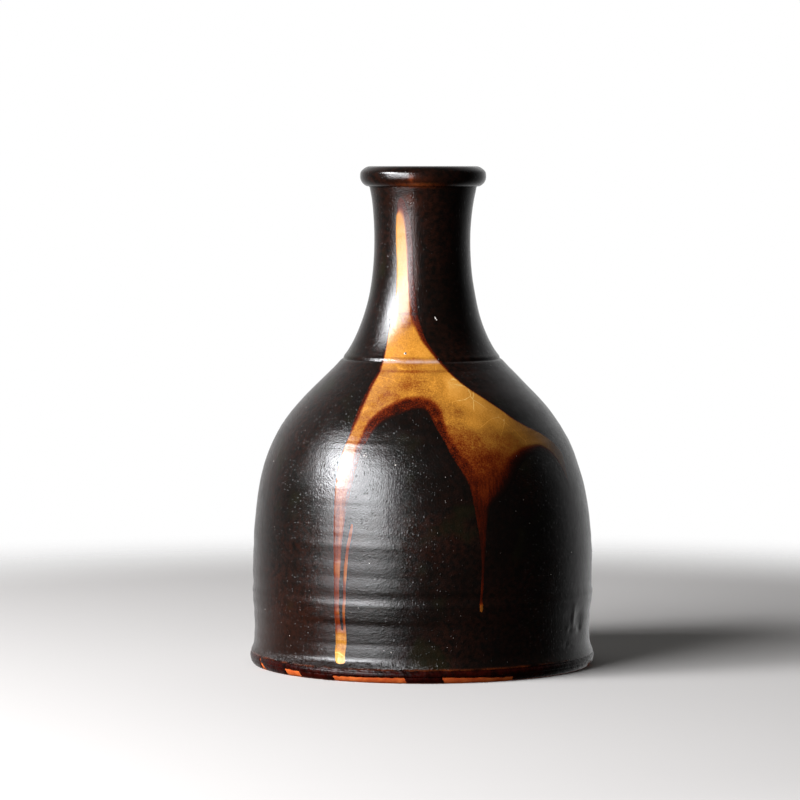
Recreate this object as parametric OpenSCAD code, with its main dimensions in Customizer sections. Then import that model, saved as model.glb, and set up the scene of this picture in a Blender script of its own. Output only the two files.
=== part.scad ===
// Wheel-thrown stoneware sake bottle.
//
// The clay is thrown in sections that are luted together with slip: a base with its turned-up
// corner, the belly wall, the neck and a rolled lip. An iron slip, two dark glaze coats and a
// poured amber glaze lie on the clay as layers, each a solid of its own.
//
// One outline of [radius, height] points follows the clay from the foot, up the outside, over the
// lip and down the inside to the middle of the floor. Each section is a stretch of that outline
// turned about the Z axis, and each coat lies between it and the same outline moved out by the
// coat's thickness, so neighbours meet face to face.

/* [Overall] */
// Height from the table to the crest of the glazed lip
total_h = 170; // [166:1:176]
// Radius of the clay at the join between the base and the belly wall
belly_r = 57.5; // [54:0.1:60]
// Height of the join between the base and the belly wall
belly_z = 22; // [18:0.5:26]
// Outward lean of the wall as it leaves that join, in degrees from upright
belly_swell = 2; // [0:0.1:3]
// How far the belly keeps that direction above the join, as the length of its curve handle
belly_fullness = 57.5; // [50:0.5:62]

/* [Shoulder] */
// Radius of the clay at the join between the shoulder and the neck
seam_r = 27.1; // [25:0.1:29]
// Height of that join
seam_z = 103.7; // [100:0.1:107]
// Slope of the shoulder at the join, in degrees from upright
shoulder_slope = 43; // [38:0.5:48]
// Length of the shoulder's curve handle at the join
shoulder_sweep = 25; // [20:0.5:30]

/* [Neck] */
// Slope at which the neck leaves the join, in degrees from upright
neck_slope = 39.5; // [34:0.5:44]
// Length of the neck's lower curve handle
neck_sweep = 20.2; // [14:0.1:24]
// Outward flare of the neck under the lip, in degrees from upright
neck_flare = 15; // [5:0.1:25]
// Length of the neck's upper curve handle
neck_flare_sweep = 13.5; // [10:0.1:18]

/* [Lip and mouth] */
// Outer radius of the rolled lip's clay
lip_r = 21; // [19:0.1:23]
// Radius of the lip's round bead, in section
bead_r = 3.04; // [2.4:0.02:3.6]
// Radius of the glazed bore in the neck
bore_r = 12.5; // [11:0.1:13]
// Height at which the straight bore begins
bore_bottom_z = 146; // [140:1:150]
// Depth of the rounded mouth above the straight bore
mouth_depth = 7; // [5:0.5:9]

/* [Inside] */
// Thickness of the floor's clay
floor_t = 7; // [5:0.5:9]
// Thickness of the clay wall where it leaves the base
wall_t = 5.5; // [4:0.1:7]
// Thickness of the clay at the neck join, measured level
seam_wall_t = 5.2; // [4:0.1:6]
// Radius of the inside corner between the floor and the wall
corner_r = 9; // [6:0.5:11]

/* [Foot] */
// Radius of the clay at the widest point of the flared foot
foot_r = 58.8; // [57.8:0.1:61]
// Height of that widest point
foot_tip_z = 3.2; // [2.8:0.1:4.6]
// How far the foot's lower edge rounds in to the ring that it rests on
foot_round = 1.6; // [1:0.1:2.2]
// Depth of the pinch where the wall meets the flare
foot_pinch = 1.7; // [0:0.1:2]
// Radius of the shallow hollow turned in the underside
recess_r = 50; // [40:1:53]
// Depth of that hollow
recess_depth = 0.8; // [0.4:0.1:1.5]

/* [Coats] */
// Thickness of the dark glaze, inside and outside
glaze_t = 0.5; // [0.3:0.05:0.7]
// Thickness of the iron slip on the foot
slip_t = 0.2; // [0.1:0.05:0.3]
// Thickness of the poured amber glaze
pour_t = 0.35; // [0.2:0.05:0.5]
// Height up to which the slip is rubbed off in patches
rubbed_z = 2; // [1:0.1:2.4]

/* [Hidden] */
$fn = 128;

clay_color = "peru";
slip_color = "#4a1810";
glaze_color = "#2b2320";
liner_color = "#3a2a20";
amber_color = "#c98a3c";

// Points along each stretch of the outline
foot_steps = 6;
edge_steps = 3;
flare_steps = 7;
belly_steps = 26;
neck_steps = 22;
bead_steps = 18;
mouth_steps = 8;
corner_steps = 8;

// The slip starts this many steps up the rounded foot, clear of the table
slip_start = 2;
// Where the glaze's lower edge lies on the flare, as a fraction of that curve
edge_at = 0.2;

bead_z = total_h - glaze_t - bead_r;
crest_z = total_h - glaze_t;
bead_centre_r = lip_r - bead_r;
bore_clay_r = bore_r + glaze_t;
mouth_z = total_h - mouth_depth;
inner_belly_r = belly_r - wall_t;
inner_seam_r = seam_r - seam_wall_t;
// The inside of the belly follows the outside, so its handles are a little shorter
inner_handle = 0.93;
// Handles of the inside of the neck, at the shoulder join and below the straight bore
inner_neck_sweep = 13;
bore_sweep = 14;

// Angles where the slip is rubbed through to bare clay, in degrees from the front, and positive
// towards +X
rubbed_arcs = [[-68, -64], [-51, -43], [-30, -5], [6, 29], [74, 81], [118, 131], [196, 214]];

// Outline of the poured glaze seen from the front, as [x, z] points: the streak's tip on the neck,
// down the right side of the sheet, round its end and up the middle run, over the arch, down the
// inner side of the left run to the foot, and up its outer side
pour_outline = [
    [-7.6, 156], [-6.6, 152], [-5.6, 146], [-5, 138], [-4, 128], [-1.6, 120], [0.7, 114.6],
    [3.9, 108.4], [8.4, 103], [15, 97], [22.3, 92], [31, 86.3], [40, 81], [46, 76], [48.6, 70],
    [49.4, 63], [48.6, 61], [47.6, 65], [45.8, 69.7], [43.5, 72], [37.4, 74.8], [32.8, 74],
    [30.8, 71], [31.8, 66.4], [28.4, 59.6], [23, 57], [21.8, 53], [20.9, 46.8], [20.7, 35],
    [20, 25], [19.4, 22.2], [18.7, 24], [19, 33], [19.3, 44], [18.2, 53.4], [16.5, 60],
    [14.5, 67], [12.5, 70], [9.3, 75], [6.6, 80.7], [4.4, 85.7], [1.2, 90], [-2, 91],
    [-5, 90.6], [-9.7, 88.8], [-14, 87], [-16.6, 83.3], [-19, 77], [-21.7, 67.7], [-23.8, 58],
    [-26.3, 47], [-27.2, 38], [-27.2, 24], [-26.4, 15], [-25.2, 12], [-25.2, 8.6], [-25.4, 5.2],
    [-28.3, 5.2], [-28.9, 9], [-29.4, 21], [-29.5, 40], [-29.2, 53], [-28.8, 65], [-28.2, 71.3],
    [-26.6, 75.5], [-24.4, 79], [-22.4, 84.7], [-19.1, 93.5], [-15.1, 100.6], [-12, 110.5],
    [-9.3, 120], [-8.9, 130], [-9.1, 144], [-8.9, 153]
];

// ---- Curves ----

// Point at fraction t of the cubic curve with end points a and d and handles b and c
function cubic(a, b, c, d, t) =
    pow(1 - t, 3) * a + 3 * t * pow(1 - t, 2) * b + 3 * t * t * (1 - t) * c + pow(t, 3) * d;

// The curve from fraction first to fraction last in n steps, without its end point, which
// is the next stretch's first
function stretch(curve, n, first = 0, last = 1) =
    [for (i = [0 : n - 1])
        cubic(curve[0], curve[1], curve[2], curve[3], first + (last - first) * i / n)];

// Points of an ellipse's arc about centre, without its end point
function arc(centre, size, from, to, n) =
    [for (i = [0 : n - 1])
        let (angle = from + (to - from) * i / n)
        centre + [size[0] * cos(angle), size[1] * sin(angle)]];

// A handle of the given length that leans in from upright by slope degrees
function handle(length, slope) = length * [-sin(slope), cos(slope)];

function reversed(points) = [for (i = [len(points) - 1 : -1 : 0]) points[i]];
function part_of(points, from, to) = [for (i = [from : to]) points[i]];

// Direction away from the clay at point i of an outline that runs up the outside
function outward(points, i) =
    let (
        ahead = points[min(i + 1, len(points) - 1)],
        behind = points[max(i - 1, 0)],
        along = (ahead - behind) / norm(ahead - behind)
    )
    [along[1], -along[0]];

// The outline moved out by a coat's thickness, rounded to a micrometre so that the bore stays
// exactly parallel
function coated(points, thickness) =
    [for (i = [0 : len(points) - 1])
        let (p = points[i] + thickness * outward(points, i))
        [round(p[0] * 1000) / 1000, round(p[1] * 1000) / 1000]];

// ---- The outline ----

foot_tip = [foot_r, foot_tip_z];
belly_start = [belly_r, belly_z];
seam = [seam_r, seam_z];
neck_top = [bead_centre_r, bead_z - bead_r];
inner_seam = [inner_seam_r, seam_z];
inner_belly = [inner_belly_r, belly_z];
bore_top = [bore_clay_r, mouth_z];
bore_bottom = [bore_clay_r, bore_bottom_z];

flare_curve = [
    foot_tip,
    foot_tip + [0, 0.5],
    [belly_r - foot_pinch, foot_tip_z + 1.7],
    belly_start
];
belly_curve = [
    belly_start,
    belly_start + handle(belly_fullness, -belly_swell),
    seam - handle(shoulder_sweep, shoulder_slope),
    seam
];
neck_curve = [
    seam,
    seam + handle(neck_sweep, neck_slope),
    neck_top - handle(neck_flare_sweep, -neck_flare),
    neck_top
];
inner_neck_curve = [
    bore_bottom,
    bore_bottom - handle(bore_sweep, 0),
    inner_seam + handle(inner_neck_sweep, neck_slope),
    inner_seam
];
inner_belly_curve = [
    inner_seam,
    inner_seam - handle(shoulder_sweep * inner_handle, shoulder_slope),
    inner_belly + handle(belly_fullness * inner_handle, -belly_swell),
    inner_belly
];
corner_centre = [inner_belly_r - corner_r, floor_t + corner_r];

clay = concat(
    arc([foot_r - foot_round, foot_tip_z], [foot_round, foot_tip_z], -90, 0, foot_steps),
    stretch(flare_curve, edge_steps, 0, edge_at),
    stretch(flare_curve, flare_steps, edge_at, 1),
    stretch(belly_curve, belly_steps),
    stretch(neck_curve, neck_steps),
    arc([bead_centre_r, bead_z], [bead_r, bead_r], -90, 90, bead_steps),
    arc([bead_centre_r, mouth_z], [bead_centre_r - bore_clay_r, crest_z - mouth_z],
        90, 180, mouth_steps),
    [bore_top],
    stretch(inner_neck_curve, neck_steps),
    stretch(inner_belly_curve, belly_steps),
    [inner_belly],
    arc(corner_centre, [corner_r, corner_r], 0, -90, corner_steps),
    [[corner_centre[0], floor_t], [0, floor_t]]
);
glaze = coated(clay, glaze_t);
slip = coated(clay, slip_t);
pour = coated(clay, glaze_t + pour_t);

// Where each stretch starts on the outline
edge_i = foot_steps + edge_steps;
belly_i = edge_i + flare_steps;
seam_i = belly_i + belly_steps;
lip_i = seam_i + neck_steps;
crest_i = lip_i + bead_steps;
bore_i = crest_i + mouth_steps;
inner_seam_i = bore_i + 1 + neck_steps;
inner_belly_i = inner_seam_i + belly_steps;
last_i = len(clay) - 1;

// ---- Solids ----

// A section of the clay, between a stretch of its outside and the facing stretch of its inside
module turned_wall(outside_from, outside_to, inside_from, inside_to) {
    rotate_extrude()
        polygon(concat(
            part_of(clay, outside_from, outside_to),
            part_of(clay, inside_from, inside_to)
        ));
}

// A layer between two outlines, from point i to point j
module turned_coat(under, over, i, j) {
    rotate_extrude()
        polygon(concat(part_of(under, i, j), reversed(part_of(over, i, j))));
}

// Floor and lower wall in one, with a shallow hollow turned in its underside
module base() {
    hollow = [[0, recess_depth], [recess_r - recess_depth, recess_depth], [recess_r, 0]];
    color(clay_color)
        rotate_extrude()
            polygon(concat(
                hollow,
                part_of(clay, 0, belly_i),
                part_of(clay, inner_belly_i, last_i)
            ));
}

module belly_wall() {
    color(clay_color)
        turned_wall(belly_i, seam_i, inner_seam_i, inner_belly_i);
}

module neck() {
    color(clay_color)
        turned_wall(seam_i, lip_i, bore_i, inner_seam_i);
}

// A roll of clay folded over at the top of the neck, rounded into the bore
module rolled_lip() {
    color(clay_color)
        rotate_extrude()
            polygon(part_of(clay, lip_i, bore_i));
}

// Iron slip on the foot below the glaze, rubbed through at its lower edge
module foot_slip() {
    ring_inner_r = foot_r - 2 * foot_round;
    color(slip_color)
        difference() {
            turned_coat(clay, slip, slip_start, edge_i);
            for (patch = rubbed_arcs)
                rotate([0, 0, patch[0] - 90])
                    rotate_extrude(angle = patch[1] - patch[0])
                        translate([ring_inner_r, -1])
                            square([3 * foot_round + 2, rubbed_z + 1]);
        }
}

// Dark coat on the outside, from above the foot to the crest of the lip
module outer_glaze() {
    color(glaze_color)
        turned_coat(clay, glaze, edge_i, crest_i);
}

// The same coat poured round the inside, from the crest of the lip to the middle of the floor
module liner_glaze() {
    color(liner_color)
        turned_coat(clay, glaze, crest_i, last_i);
}

// The amber overglaze that ran down from the neck: the front of a thin layer on the dark coat,
// cut to the outline of the run
module amber_pour() {
    reach = belly_r * 2;
    color(amber_color)
        intersection() {
            turned_coat(glaze, pour, edge_i, lip_i);
            rotate([90, 0, 0])
                linear_extrude(reach)
                    polygon(pour_outline);
        }
}

base();
belly_wall();
neck();
rolled_lip();
foot_slip();
outer_glaze();
liner_glaze();
amber_pour();
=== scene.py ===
"""Looks of a wheel-thrown sake bottle: a satin iron-black glaze over stoneware, a glossy amber
glaze poured down the front, and an iron slip rubbed through to orange clay at the foot.

Lengths named in millimetres are multiplied by MM; everything else is in metres, Z up.
Azimuths are in degrees from the front (-Y), positive towards +X.
"""

import math

import bmesh
import bpy
import numpy as np
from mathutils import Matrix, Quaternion, Vector, geometry, kdtree


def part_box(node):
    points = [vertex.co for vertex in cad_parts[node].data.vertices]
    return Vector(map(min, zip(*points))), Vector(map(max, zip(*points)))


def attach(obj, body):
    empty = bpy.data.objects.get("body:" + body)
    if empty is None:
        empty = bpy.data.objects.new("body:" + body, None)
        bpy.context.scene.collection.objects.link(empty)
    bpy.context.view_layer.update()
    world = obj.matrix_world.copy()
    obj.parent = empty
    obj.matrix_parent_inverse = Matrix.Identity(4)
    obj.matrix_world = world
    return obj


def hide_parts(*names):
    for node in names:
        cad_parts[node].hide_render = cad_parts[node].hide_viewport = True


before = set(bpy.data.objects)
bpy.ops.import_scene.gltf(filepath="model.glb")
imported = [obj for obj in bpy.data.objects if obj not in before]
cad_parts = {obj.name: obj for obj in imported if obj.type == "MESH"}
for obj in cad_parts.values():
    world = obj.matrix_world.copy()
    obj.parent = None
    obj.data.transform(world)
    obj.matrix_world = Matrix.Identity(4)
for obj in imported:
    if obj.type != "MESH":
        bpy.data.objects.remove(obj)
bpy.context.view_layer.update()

MM = 0.001
# How far the looks keep inside the CAD at its widest, in mm
CLEAR = 0.025
CLAY_NODES = ("base", "belly_wall", "neck", "rolled_lip")

# ---- Camera and studio ----

CAMERA_DISTANCE = 1.305
CAMERA_HEIGHT = 0.172
CAMERA_PITCH = math.radians(3.595)
CAMERA_TURN = math.radians(0.33)
LENS_MM = 171.7
SENSOR_MM = 36.0

# The pale wall behind the bottle, as light: its brightness, how it gathers straight behind, and
# the dim room in front
WALL_LIGHT = 0.75
WALL_SPREAD = 2.2
ROOM_LIGHT = 0.007

FLOOR_R = 0.48  # the floor has faded out just before it

# The sky in the window, a bright cloud in it, the garden below and the sheen of the table: azimuth,
# elevation, distance, width and height, how far the light leans in degrees, and watts
WINDOWS = {
    "sky": (-54, 27, 1.0, (0.96, 0.36), -14, 17),
    "bright_cloud": (-66, 26, 1.0, (0.28, 0.26), -14, 5),
    "garden": (-45, 8, 1.0, (0.84, 0.32), -8, 7.0),
    "table_sheen": (-44, -8, 1.0, (0.80, 0.24), 0, 1.5),
}
WINDOW_COLOUR = (0.96, 0.97, 1)

# ---- Surface relief, in millimetres ----

# Marks left by the fingers while throwing: height, width, outward push, and how much the ring
# rises and falls round the pot
RINGS = [
    (7.8, 1.7, -0.2, 0.2), (12, 0.8, -0.1, 0.3), (16.6, 1.2, 0.1, 0.3), (19.2, 0.9, -0.07, 0.3),
    (23, 2.8, 0.18, 0.2), (25.2, 0.9, 0.15, 0.2), (28, 1.5, -0.2, 0.3), (31, 0.8, -0.03, 0.3),
    (31.9, 0.6, 0.05, 0.3), (34.6, 1, -0.08, 0.4), (38, 2, 0.05, 0.4), (41, 1.6, -0.06, 0.4),
    (44.6, 1.3, 0.1, 0.4), (49.5, 2.4, -0.04, 0.6), (66, 1.4, -0.03, 0.5), (78.9, 0.5, -0.03, 0.5),
    (81.6, 0.45, 0.06, 0.4), (88.3, 0.7, -0.03, 0.4), (92.2, 0.6, 0.04, 0.4), (101.2, 0.35, -0.05, 0.1),
    (106.8, 0.9, 0.06, 0.1),
]
# The join of shoulder and neck, above the clay's own join, and its upper lip, above the join.
# Its groove and the soft swellings beside it: height from the join, width, outward push
SEAM_RISE = 0.9
UPPER_LIP = 0.9
SEAM = [(0, 0.42, -0.26), (UPPER_LIP, 0.7, 0.1), (-1.1, 0.8, 0.05)]

# Soft waves of the thrown wall: seed, how many, most turns round the pot, shortest and longest
# wavelength up the wall, outward push, and the share of it that is left on the neck
WAVES = [(4, 9, 2, 2.2, 6, 0.016, 0.15), (9, 7, 3, 12, 40, 0.05, 0.3)]

# The lip's bead stands out near its top: height, width, outward push
BEAD_SHOULDER = (168.0, 0.8, 0.16)

# How far the rings' centres wander towards +X, by height
LEAN = [(0, 0), (6, 0), (28, 0.15), (40, 0.27), (50, 0.18), (60, -0.1), (75, -0.32), (93, -0.35),
        (100, -0.05), (110, -0.17), (118, -0.1), (126, 0.1), (147, 0.1), (153, 0.2), (160, 0.36),
        (170, 0.37)]

# A thumb's dent low on the right, with a few lumps beside it, and the wall's radius there:
# azimuth, height, width round the pot, height of the mark, outward push
DENTED_R = 57.0
DENTS = [
    (67, 17, 3.2, 3.6, -0.5),
    (61.9, 18.6, 0.8, 3.2, 0.34),
    (64.4, 14, 1.6, 0.8, 0.26),
    (68.2, 14.6, 0.9, 0.9, -0.45),
    (58.6, 15.4, 0.8, 0.8, 0.24),
    (60, 14.2, 0.6, 0.8, -0.22),
    (57.4, 9.9, 0.8, 0.8, -0.34),
    (56.6, 10.6, 0.5, 0.6, 0.2),
    (60.4, 8.9, 0.7, 0.6, -0.24),
    (62.4, 22.4, 1, 0.7, 0.12),
]

# ---- The amber pour: azimuth, height in mm, and width in mm of the rusty fringe there ----

POUR = [
    # left edge, from the tip on the neck down to the foot
    (-31, 157.7, 2.6), (-32.4, 154.3, 0.8), (-33.5, 150.3, 0.2), (-33.7, 143.8, 0.2),
    (-32.2, 137.8, 0.2), (-30.9, 129.8, 0.2), (-30.6, 121.8, 0.3), (-31.4, 114.8, 0.5),
    (-31.1, 110.8, 0.8), (-30.6, 106.3, 1.2), (-30.1, 100.8, 1.8), (-30.6, 97.3, 2.2),
    (-30.6, 93.3, 2.4), (-30.4, 89.3, 2.4), (-30.3, 84.8, 2), (-30.2, 80.3, 1),
    (-31, 75.3, 0.4), (-31.6, 71.3, 0.2), (-31.6, 65.8, 0.2), (-31.3, 59.8, 0.2),
    (-31.1, 53.3, 0.3), (-30.7, 42.8, 0.4), (-30.4, 30.3, 0.4), (-30.2, 21.8, 0.4),
    (-29.9, 14.3, 0.3), (-30.1, 9.3, 0.3), (-29.5, 6.2, 0.3), (-27.6, 5.5, 0.3),
    (-25.9, 6.3, 0.3), (-26.1, 8.6, 0.3), (-25.6, 12.3, 0.3),
    # the trickle beside the left run, up and down again
    (-25.6, 15.8, 0.3), (-25.9, 20.3, 0.2), (-25.7, 26.3, 0.2), (-25.6, 32.3, 0.2),
    (-25.2, 38.3, 0.2), (-24.7, 43.3, 0.2), (-23.8, 47.9, 0.2), (-23.4, 51.9, 0.2),
    (-24.1, 52.6, 0.2), (-24.6, 51.7, 0.2), (-25.4, 47.5, 0.2), (-26.2, 42.8, 0.2),
    (-26.7, 37.8, 0.2), (-26.9, 32.3, 0.2), (-27, 26.3, 0.2), (-27.1, 20.3, 0.2),
    (-27, 17.3, 0.2),
    # inner edge of the left run, up to the arch
    (-27.5, 17.9, 0.3), (-27.9, 22.3, 0.4), (-28, 28.3, 0.4), (-27.9, 34.8, 0.5),
    (-27.5, 41.3, 0.7), (-26.9, 47.8, 1.2), (-26.1, 54.3, 1.8), (-24.7, 62.3, 2.8),
    (-23.4, 69.3, 3.6), (-22.2, 75.8, 4.6), (-20.3, 79.3, 6), (-18.8, 81.9, 8),
    (-16.8, 84.2, 10.5), (-13.4, 85.9, 12), (-8.6, 87.5, 11.5), (-3, 89, 11),
    (1.8, 88.8, 9), (4.2, 86, 5.6),
    # left edge of the sheet, down to the middle run
    (5.6, 83.6, 4.4), (7.2, 81.2, 3.8), (8.8, 78.6, 4), (10.5, 75, 4.6),
    (12.2, 72.1, 5.2), (14, 69.3, 5.6), (15.9, 65.7, 5), (16.9, 61.3, 4),
    (17.5, 57.3, 3.2), (18.1, 52.8, 2.2), (18.7, 46.8, 1.4),
    (19.1, 40.3, 0.9), (19.1, 34.3, 0.6), (18.9, 28.3, 0.3), (18.8, 25.2, 0.2),
    (19.2, 23.4, 0.2), (19.9, 23.3, 0.2),
    # up the right of the middle run, and along the sheet's fading lower edge
    (20.3, 24.8, 0.2), (20.3, 28.3, 0.3), (20.7, 34.3, 0.6), (21.1, 40.3, 0.9),
    (21.6, 46.8, 1.6), (22.8, 53.3, 3), (24.2, 57.5, 5), (27.2, 59.7, 7.5),
    (31, 62.1, 9.5), (34.8, 65.9, 9.5), (38.1, 69.6, 8), (42.3, 72.2, 6.5),
    (47.2, 73.6, 5.5), (52.2, 74, 4.8), (56.3, 72.1, 4.2), (59.2, 68.8, 3.6),
    (60.9, 64.8, 3.2),
    # round the dim tail, and back up the upper right edge
    (64, 61.7, 3), (66.1, 65.3, 2.4), (67.1, 69.3, 2.2), (67.5, 73.3, 1.8),
    (65.2, 76.3, 1.6), (60.5, 79.5, 1.5), (55.7, 81.7, 1.5), (49.6, 83.9, 1.4),
    (43.9, 86.7, 1.4), (39.7, 89.5, 1.3), (34.6, 92.4, 1.3), (30.3, 94.7, 1.3),
    (25.8, 97.1, 1.3), (21.8, 99.6, 1.4), (17.1, 103.1, 1.6), (13.3, 105.8, 1.8),
    (9.1, 108.8, 2), (4.7, 111.9, 2.4),
    # the brown veil beside the neck's streak
    (1.9, 115.1, 3.2), (-2, 119.7, 4.4), (-5, 126.6, 5), (-7.8, 133.9, 5),
    (-8.6, 142.1, 5.4), (-10.4, 150.2, 6.6), (-14.6, 155.7, 7.4), (-19.2, 159.1, 7.4),
    (-24.6, 160.3, 6.4), (-28.6, 159.5, 4.6),
]

# How golden the pour is in its thickest part, from 0, dark, to 1, pale gold, and how mottled:
# azimuth, height in mm, gold, mottling
TONES = [
    (-29.6, 154, 0.7, 0.04), (-28.8, 145, 0.8, 0.05), (-26.8, 134, 0.8, 0.05),
    (-22.8, 124, 0.72, 0.08), (-15, 118, 0.52, 0.16), (-24, 117, 0.7, 0.08),
    (-9.8, 113, 0.72, 0.12), (2, 108, 0.8, 0.08), (-21.5, 108, 0.76, 0.12),
    (-23, 100, 0.7, 0.14), (-4.9, 103, 0.62, 0.16), (7.8, 103, 0.68, 0.1),
    (-9.5, 95, 0.58, 0.2), (0, 96, 0.6, 0.22), (9.5, 97, 0.72, 0.16),
    (17.1, 97, 0.92, 0.05), (26.6, 91, 0.86, 0.06), (35, 87, 0.8, 0.08),
    (-24.7, 92, 0.67, 0.16), (-19, 92, 0.62, 0.2), (-26.9, 84, 0.6, 0.16),
    (-29.2, 76, 0.54, 0.12), (8.7, 86, 0.64, 0.22), (15.3, 87, 0.6, 0.2),
    (23, 86, 0.78, 0.1), (44.2, 81, 0.73, 0.08), (12.6, 78, 0.48, 0.22),
    (19.4, 79, 0.47, 0.2), (29.1, 79, 0.58, 0.12), (15.6, 70, 0.23, 0.16),
    (21.5, 72, 0.37, 0.16), (29.3, 72, 0.34, 0.12), (38, 78, 0.55, 0.08),
    (19.6, 64, 0.26, 0.1), (27.4, 66, 0.26, 0.08), (53.9, 77, 0.84, 0.08),
    (61.5, 72, 0.7, 0.05), (64.3, 67, 0.46, 0.05), (19.6, 57, 0.17, 0.06),
    (19.8, 48, 0.16, 0.05), (19.9, 38, 0.15, 0.04), (19.6, 28, 0.24, 0.04),
    (19.7, 24, 0.55, 0.02), (-29.3, 66, 0.42, 0.1), (-29.4, 55, 0.34, 0.1),
    (-29.3, 44, 0.3, 0.08), (-29.2, 32, 0.27, 0.08), (-29.2, 26, 0.28, 0.06),
    (-29.2, 20, 0.32, 0.08), (-28, 12.5, 0.64, 0.14), (-28, 7.2, 0.9, 0.04),
    (-24.5, 48, 0.36, 0.04), (-26.3, 36, 0.5, 0.04), (-26.6, 24, 0.52, 0.04),
]

# Grains and pinholes in the glaze: azimuth, height, size in mm, from 0, dark, to 1, pale, and how
# far it stands out in mm
GRIT = [
    (13.6, 118.8, 0.55, 1, 0), (14.6, 118.3, 0.45, 0.9, 0), (13, 119.2, 0.35, 0.9, 0),
    (-12.5, 107.2, 1, 0.8, -0.05), (-12.4, 107.2, 0.62, 0, 0.1), (12.7, 105.3, 0.8, 0, 0),
    (-21.3, 74.6, 0.5, 1, 0), (-20.4, 74.3, 0.3, 0.9, 0),
]

# Where the iron slip is rubbed through to clay: its azimuths and heights in mm at both ends
RUBBED = [
    (-67.6, -64.6, 2.8, 0.6),
    (-50.6, -43.8, 2.5, 1.9),
    (-30.2, -5.2, 1.7, 2.1),
    (7, 31, 2.2, 1.4),
    (74, 81, 1.2, 1.8),
    (118, 131, 1.6, 2.2),
    (150, 154, 2.6, 1.4),
    (196, 214, 2, 1.3),
    (240, 246, 1.4, 2.4),
]

# Rust that shows through the thin glaze of the neck and lip: azimuth, height, width in degrees
# and height in mm, and how strong
RUST_MARKS = [
    (-11, 165.9, 2, 1.3, 0.45),
    (-6, 163.5, 20, 0.7, 0.8),
    (-8, 165.5, 16, 1.6, 0.1),
    (-17, 159, 5, 2, 0.14),
    (-16, 157.5, 24, 3, 0.05),
    (-12, 149, 4, 7, 0.1),
    (-7.5, 133, 2.5, 9, 0.12),
]

# How golden the rust-red shelf along the pour's wide fringes is
SHELF_GOLD = 0.20

# Fine throwing lines over which the pour thins: height in mm, and how much less golden it is
THIN_LINES = [(101.4, 0.16), (120.3, 0.12)]

# Millimetres: how far the pour's thinnest film stands on the dark coat, though its border dips
# below it, how much thicker the golden sheet and the runs are, and how high the runs begin
FILM = 0.009
SHEET_THICK = 0.04
RUNS_THICK = 0.05
RUNS_TOP = 60

# Millimetres: the steps between the pour's points, along its outline and inside it, and the
# belly's radius, for laying it flat
OUTLINE_STEP = 0.34
INNER_STEP = 0.42
BELLY_R = 57.6


# ---- Reading the frame ----


def rings(*names):
    """The (radius, height) of every ring of vertices in turned CAD nodes."""
    places = [v.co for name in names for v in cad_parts[name].data.vertices]
    return np.unique(np.round([(math.hypot(p.x, p.y), p.z) for p in places], 6), axis=0)


def chained(points, start):
    """The points in order from start, each followed by its nearest neighbour, without
    repeated ones and without those on the straight line between their neighbours."""
    left = [np.array(p) for p in points]
    path = [np.array(start)]
    while left:
        nearest = min(range(len(left)), key=lambda i: np.hypot(*(left[i] - path[-1])))
        point = left.pop(nearest)
        if np.hypot(*(point - path[-1])) > 0.05 * MM:
            path.append(point)
    bent = [path[0]]
    for here, ahead in zip(path[1:-1], path[2:]):
        along = (ahead - bent[-1]) / np.hypot(*(ahead - bent[-1]))
        off_line = abs(along[0] * (here - bent[-1])[1] - along[1] * (here - bent[-1])[0])
        if off_line > 2e-6:
            bent.append(here)
    return np.array(bent + [path[-1]])


class Outline:
    """A smooth curve through [radius, height] points, read at distances along it."""

    def __init__(self, points):
        self.points = np.asarray(points, float)
        steps = np.hypot(*np.diff(self.points, axis=0).T)
        self.s = np.concatenate([[0], np.cumsum(steps)])
        self.length = self.s[-1]
        self.slopes = np.gradient(self.points, self.s, axis=0)

    def at(self, s):
        """Points at distances s."""
        i = np.clip(np.searchsorted(self.s, s, side="right") - 1, 0, len(self.s) - 2)
        width = (self.s[i + 1] - self.s[i])[..., None]
        t = (s - self.s[i])[..., None] / width
        return (
            (2 * t**3 - 3 * t**2 + 1) * self.points[i]
            + (t**3 - 2 * t**2 + t) * width * self.slopes[i]
            + (3 * t**2 - 2 * t**3) * self.points[i + 1]
            + (t**3 - t**2) * width * self.slopes[i + 1]
        )

    def outward(self, s):
        """Unit normals on the right of the way along the curve."""
        step = 0.02 * MM
        ahead = self.at(np.clip(s + step, 0, self.length))
        behind = self.at(np.clip(s - step, 0, self.length))
        along = ahead - behind
        along /= np.linalg.norm(along, axis=-1, keepdims=True)
        return np.stack([along[..., 1], -along[..., 0]], axis=-1)

    def s_at_height(self, z):
        """Distance along at which a rising outline reaches height z."""
        fine = np.linspace(0, self.length, 4000)
        return np.interp(z, self.at(fine)[:, 1], fine)


def over_clay(node):
    """The rings of a coat that don't lie on the clay."""
    clay = rings(*CLAY_NODES)
    return [p for p in rings(node) if np.min(np.hypot(*(clay - p).T)) > 0.1 * MM]


glaze_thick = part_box("outer_glaze")[1].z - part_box("rolled_lip")[1].z
notch_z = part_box("rolled_lip")[0].z
crest_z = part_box("outer_glaze")[1].z
back_depth = 1.02 * glaze_thick  # how far in the back of a glaze coat lies
seam_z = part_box("neck")[0].z + SEAM_RISE * MM
foot_glaze_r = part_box("outer_glaze")[1].x - CLEAR * MM  # widest glaze, at the foot
foot_clay_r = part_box("base")[1].x - CLEAR * MM
foot_slip_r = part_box("foot_slip")[1].x - CLEAR * MM

outside_points = over_clay("outer_glaze")
bead_r = max(p[0] for p in outside_points if p[1] > notch_z)
bead_centre_r = bead_r - (crest_z - notch_z) / 2 - glaze_thick / 2
wall_points = [p for p in outside_points if p[1] < notch_z - 1 * MM]
at_bead = [p for p in outside_points if p[1] >= notch_z - 1 * MM]
bead_points = [p for p in at_bead if p[0] > bead_centre_r + 0.5 * MM]
inside_points = over_clay("liner_glaze")

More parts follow.
